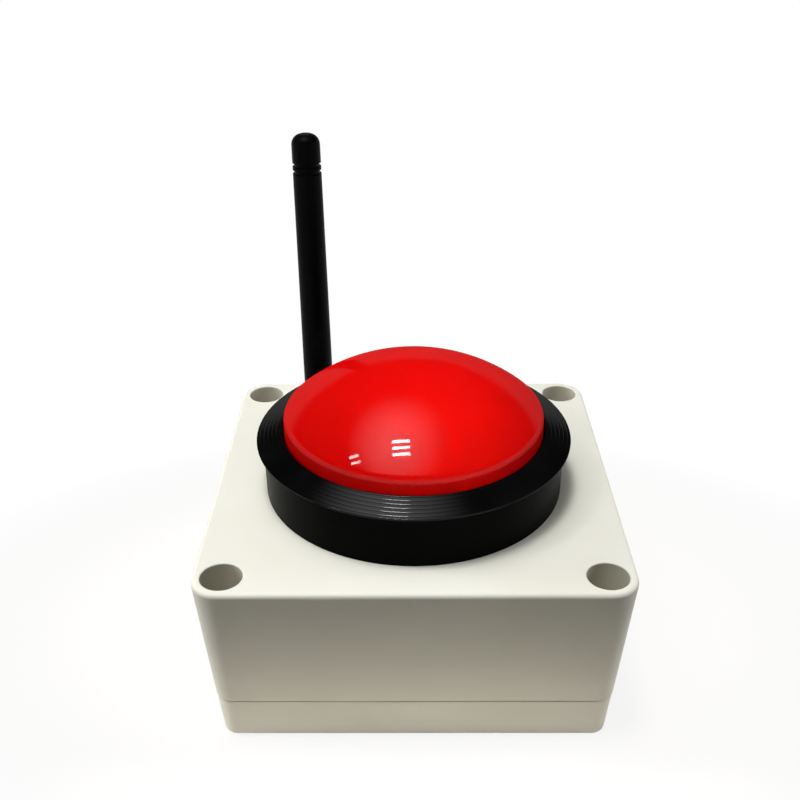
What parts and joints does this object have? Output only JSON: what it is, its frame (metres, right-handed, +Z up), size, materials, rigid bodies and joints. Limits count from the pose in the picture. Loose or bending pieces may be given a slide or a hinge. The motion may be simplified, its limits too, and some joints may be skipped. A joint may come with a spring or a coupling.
{
  "type": "quiz buzzer button",
  "caption": "Wireless quiz buzzer: a drafted plastic box with a large domed push button in a flanged bezel on top and a folding stub antenna behind.",
  "frame": {"origin": "middle of the flat underside of the base cover", "axes": "+Z up through the dome, front towards -Y, antenna behind at +Y and left of the middle at -X"},
  "size_m": [0.1288, 0.1525, 0.15],
  "materials": {
    "case_plastic": "fine moulded texture",
    "seal_rubber": "soft matt",
    "screw_steel": "bright zinc",
    "bezel_plastic": "polished",
    "dome_plastic": "polished translucent",
    "white_plastic": "moulded",
    "spring_steel": "bright",
    "contact_brass": "bright",
    "lamp_glass": "clear",
    "switch_plastic": "moulded",
    "board_laminate": "solder mask",
    "module_laminate": "solder mask",
    "chip_epoxy": "moulded",
    "capacitor_sleeve": "shrunk sleeve",
    "terminal_plastic": "moulded",
    "battery_can": "printed steel",
    "pad_foam": "foam",
    "snap_vinyl": "soft",
    "battery_wire": "insulation",
    "switch_wire": "insulation",
    "lamp_wire": "insulation",
    "coax_jacket": "jacket",
    "antenna_plastic": "moulded",
    "antenna_rubber": "satin"
  },
  "bodies": {
    "case": {"upper_housing": "case_plastic", "base_cover": "case_plastic", "housing_seal": "seal_rubber", "housing_screws": "screw_steel", "board_screws": "screw_steel", "jack_washer": "screw_steel", "button_bezel": "bezel_plastic", "stem_nut": "bezel_plastic", "lamp_holder": "white_plastic", "return_spring": "spring_steel", "lamp_contacts": "contact_brass", "microswitch_terminals": "contact_brass", "antenna_jack": "contact_brass", "jack_nut": "contact_brass", "coupling_nut": "contact_brass", "led_lamp": "lamp_glass", "microswitch_case": "switch_plastic", "transmitter_board": "board_laminate", "radio_module": "module_laminate", "encoder_chip": "chip_epoxy", "board_capacitors": "capacitor_sleeve", "terminal_block": "terminal_plastic", "battery": "battery_can", "battery_pad": "pad_foam", "battery_snap": "snap_vinyl", "battery_leads": "battery_wire", "switch_leads": "switch_wire", "lamp_leads": "lamp_wire", "antenna_pigtail": "coax_jacket"},
    "button": {"dome_cap": "dome_plastic", "plunger": "white_plastic"},
    "switch_lever": {"microswitch_lever": "screw_steel"},
    "switch_pin": {"microswitch_pin": "switch_plastic"},
    "antenna_foot": {"antenna_knuckle": "antenna_plastic", "hinge_pin": "screw_steel"},
    "antenna_stub": {"antenna_hinge": "antenna_plastic", "antenna_sleeve": "antenna_rubber", "antenna_radiator": "contact_brass"}
  },
  "joints": [
    {"name": "button_press", "type": "slide", "parent": "case", "child": "button", "axis": [0, 0, -1], "range_m": [0, 0.004], "stiffness_N_per_m": 300, "springref_m": -0.012, "deforming": ["return_spring"]},
    {"name": "lever_swing", "type": "hinge", "parent": "case", "child": "switch_lever", "pos_m": [-0.013, -0.003, 0.03085], "axis": [0, 1, 0], "range_deg": [0, 10.9]},
    {"name": "pin_slide", "type": "slide", "parent": "case", "child": "switch_pin", "axis": [0, 0, -1], "range_m": [0, 0.00125]},
    {"name": "antenna_swivel", "type": "hinge", "parent": "case", "child": "antenna_foot", "pos_m": [-0.038, 0.08227, 0.038], "axis": [0, 1, 0], "range_deg": [-90, 90]},
    {"name": "antenna_fold", "type": "hinge", "parent": "antenna_foot", "child": "antenna_stub", "pos_m": [-0.038, 0.08227, 0.038], "axis": [-1, 0, 0], "range_deg": [0, 90]}
  ],
  "couplings": [
    {"joint": "lever_swing", "follows": "button_press", "rad_per_m": 47.421},
    {"joint": "pin_slide", "follows": "button_press", "ratio": 0.3}
  ]
}
